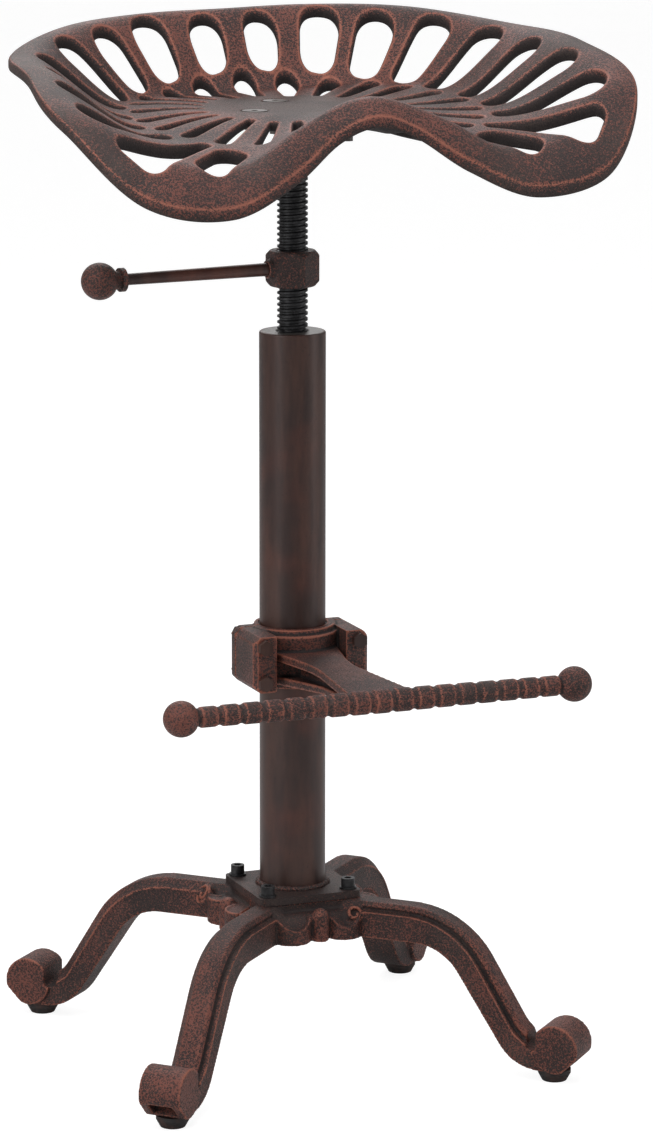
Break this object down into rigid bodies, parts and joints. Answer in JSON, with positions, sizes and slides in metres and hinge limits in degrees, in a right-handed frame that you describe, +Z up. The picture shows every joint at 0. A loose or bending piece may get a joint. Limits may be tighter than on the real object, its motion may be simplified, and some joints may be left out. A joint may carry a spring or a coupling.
{
  "type": "tractor seat stool",
  "caption": "Height-adjustable stool with a pierced cast tractor seat on a coarse screw, a lever lock nut, a tube column, a clamped footrest and scroll legs.",
  "frame": {"origin": "on the floor, on the axis of the column and the screw, level with the undersides of the four pads", "axes": "+Z up along the column; -Y is the front, where the footrest bar and the raised nose of the seat are; +X is to the sitter's left when facing the front"},
  "size_m": [0.435, 0.3585, 0.7587],
  "materials": {
    "rubbed_cast_iron": "antique brown-black paint with copper-red rubbed edges",
    "brown_column_paint": "brown-black paint with copper streaks, satin",
    "black_screw_steel": "satin black",
    "black_fasteners": "black oxide",
    "dark_lever_steel": "dark brown paint with worn spots",
    "turned_steel": "turned and oiled",
    "pad_rubber": "matte black",
    "guide_plastic": "matte dark plastic"
  },
  "bodies": {
    "frame": {"base_casting_front": "rubbed_cast_iron", "base_casting_rear": "rubbed_cast_iron", "foot_pad_front_left": "pad_rubber", "foot_pad_front_right": "pad_rubber", "foot_pad_rear_left": "pad_rubber", "foot_pad_rear_right": "pad_rubber", "foot_pad_screws": "black_fasteners", "column_plate": "brown_column_paint", "plate_screws": "black_fasteners", "plate_washers": "black_fasteners", "column_tube": "brown_column_paint", "column_weld": "brown_column_paint", "column_plug": "turned_steel"},
    "seat_guide": {"guide_bush": "guide_plastic"},
    "seat_set": {"threaded_rod": "black_screw_steel", "rod_end_washer": "black_fasteners", "rod_end_screw": "black_fasteners", "seat": "rubbed_cast_iron", "seat_flange": "turned_steel", "seat_screws": "dark_lever_steel", "seat_nuts": "black_fasteners"},
    "nut_guide": {"nut_washer": "guide_plastic"},
    "lock_nut_set": {"lock_nut": "rubbed_cast_iron", "lever_rod": "dark_lever_steel", "lever_collar": "rubbed_cast_iron", "lever_ball": "rubbed_cast_iron"},
    "footrest_guide": {"clamp_liner": "guide_plastic"},
    "footrest_set": {"footrest": "rubbed_cast_iron", "clamp_rear": "rubbed_cast_iron", "clamp_bolts": "dark_lever_steel", "clamp_washers": "black_fasteners", "clamp_nuts": "black_fasteners"}
  },
  "joints": [
    {"name": "seat_lift", "type": "slide", "parent": "frame", "child": "seat_guide", "axis": [0, 0, 1], "range_m": [-0.05937, 0.0382]},
    {"name": "seat_turn", "type": "hinge", "parent": "seat_guide", "child": "seat_set", "pos_m": [0, 0, 0.44], "axis": [0, 0, 1], "range_deg": [-5040, 3240]},
    {"name": "nut_lift", "type": "slide", "parent": "frame", "child": "nut_guide", "axis": [0, 0, 1], "range_m": [-0.03185, 0.00857]},
    {"name": "nut_turn", "type": "hinge", "parent": "nut_guide", "child": "lock_nut_set", "pos_m": [0, 0, 0.58], "axis": [0, 0, 1], "range_deg": [-2700, 720]},
    {"name": "footrest_height", "type": "slide", "parent": "frame", "child": "footrest_guide", "axis": [0, 0, 1], "range_m": [-0.115, 0.2]},
    {"name": "footrest_turn", "type": "hinge", "parent": "footrest_guide", "child": "footrest_set", "pos_m": [0, 0, 0.2998], "axis": [0, 0, 1], "continuous": true}
  ],
  "couplings": [
    {"joint": "seat_lift", "follows": "seat_turn", "m_per_rad": 0.00067376},
    {"joint": "nut_lift", "follows": "nut_turn", "m_per_rad": 0.00067376}
  ]
}
